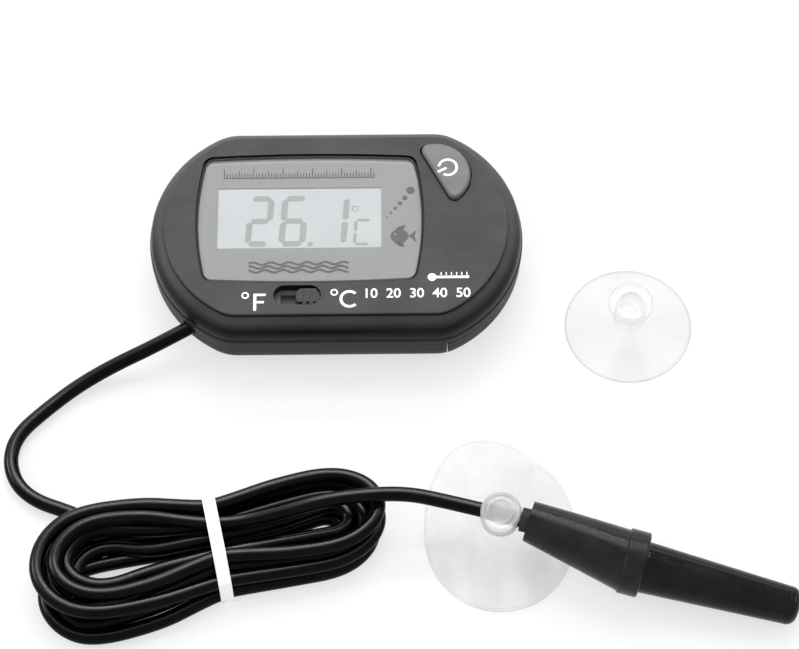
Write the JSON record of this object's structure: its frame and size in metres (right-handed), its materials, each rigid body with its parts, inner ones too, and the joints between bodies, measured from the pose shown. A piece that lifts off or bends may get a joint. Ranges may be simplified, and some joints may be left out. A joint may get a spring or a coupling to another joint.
{
  "type": "digital aquarium thermometer",
  "caption": "Round-ended digital display case with a button, unit switch and battery door, a tied cord to a tapered probe, and clear suction cups for the case and the probe.",
  "frame": {"origin": "mouth of the suction cup socket, in the middle of the case's flat back, on the plane that everything lies on", "axes": "+X to the display's right, +Y towards the display's top, +Z out of the face"},
  "size_m": [0.1285, 0.0886, 0.0138],
  "materials": {
    "case_black": "fine matt moulded texture, slightly worn edges",
    "lens": "clear panel with a grey printed surround",
    "lcd": "pale grey-green liquid crystal cell",
    "white_plastic": "moulded white",
    "grey_rubber": "layered conductive rubber",
    "board": "green solder mask",
    "epoxy": "cast epoxy",
    "screw_steel": "zinc plated",
    "button_grey": "satin mid grey",
    "dome_steel": "spring steel",
    "switch_grey": "light grey moulding",
    "knob_black": "matt black",
    "cell_steel": "nickel plated can",
    "lead_copper": "thin insulated wires",
    "cord_pvc": "soft black PVC with a low gloss",
    "tie_white": "flat paper covered tie",
    "probe_rubber": "satin black rubber",
    "tip_black": "smooth black moulding",
    "potting": "dark resin",
    "cup_clear": "clear soft PVC"
  },
  "bodies": {
    "case": {"front_shell": "case_black", "back_shell": "case_black", "lens_panel": "lens", "lcd_glass": "lcd", "lcd_reflector": "white_plastic", "lcd_frame": "white_plastic", "zebra_strip": "grey_rubber", "circuit_board": "board", "chip_cover": "epoxy", "board_screws": "screw_steel", "case_screws": "screw_steel", "button_dome": "dome_steel", "switch_body": "switch_grey", "battery_cell": "cell_steel", "contact_negative": "dome_steel", "contact_positive": "dome_steel", "cord_grommet": "probe_rubber", "sensor_leads": "lead_copper", "cord_lead": "cord_pvc", "cord_hank": "cord_pvc", "cord_tie": "tie_white", "cord_tail": "cord_pvc", "probe_gland": "probe_rubber", "probe_boot": "probe_rubber", "probe_collar": "probe_rubber", "probe_tip": "tip_black", "thermistor": "epoxy", "probe_potting": "potting"},
    "power_button": {"power_button": "button_grey"},
    "switch_knob": {"switch_knob": "knob_black"},
    "battery_door": {"battery_door": "case_black"},
    "probe_cup": {"probe_suction_cup": "cup_clear"},
    "display_cup": {"display_suction_cup": "cup_clear"}
  },
  "joints": [
    {"name": "button_press", "type": "slide", "parent": "case", "child": "power_button", "axis": [0, 0, -1], "range_m": [0, 0.0006], "stiffness_N_per_m": 2000, "springref_m": -0.0001, "deforming": ["button_dome"]},
    {"name": "unit_switch_slide", "type": "slide", "parent": "case", "child": "switch_knob", "axis": [-1, 0, 0], "range_m": [0, 0.0033]},
    {"name": "battery_door_slide", "type": "slide", "parent": "case", "child": "battery_door", "axis": [1, 0, 0], "range_m": [0, 0.009]},
    {"name": "probe_cup_swivel", "type": "hinge", "parent": "case", "child": "probe_cup", "pos_m": [0.0264, -0.05078, 0.00787], "axis": [-0.9665, 0.2563, 0.0132], "range_deg": [0, 16]},
    {"name": "display_cup_lift", "type": "slide", "parent": "case", "child": "display_cup", "axis": [0, 0, 1], "range_m": [0, 0.03]}
  ]
}
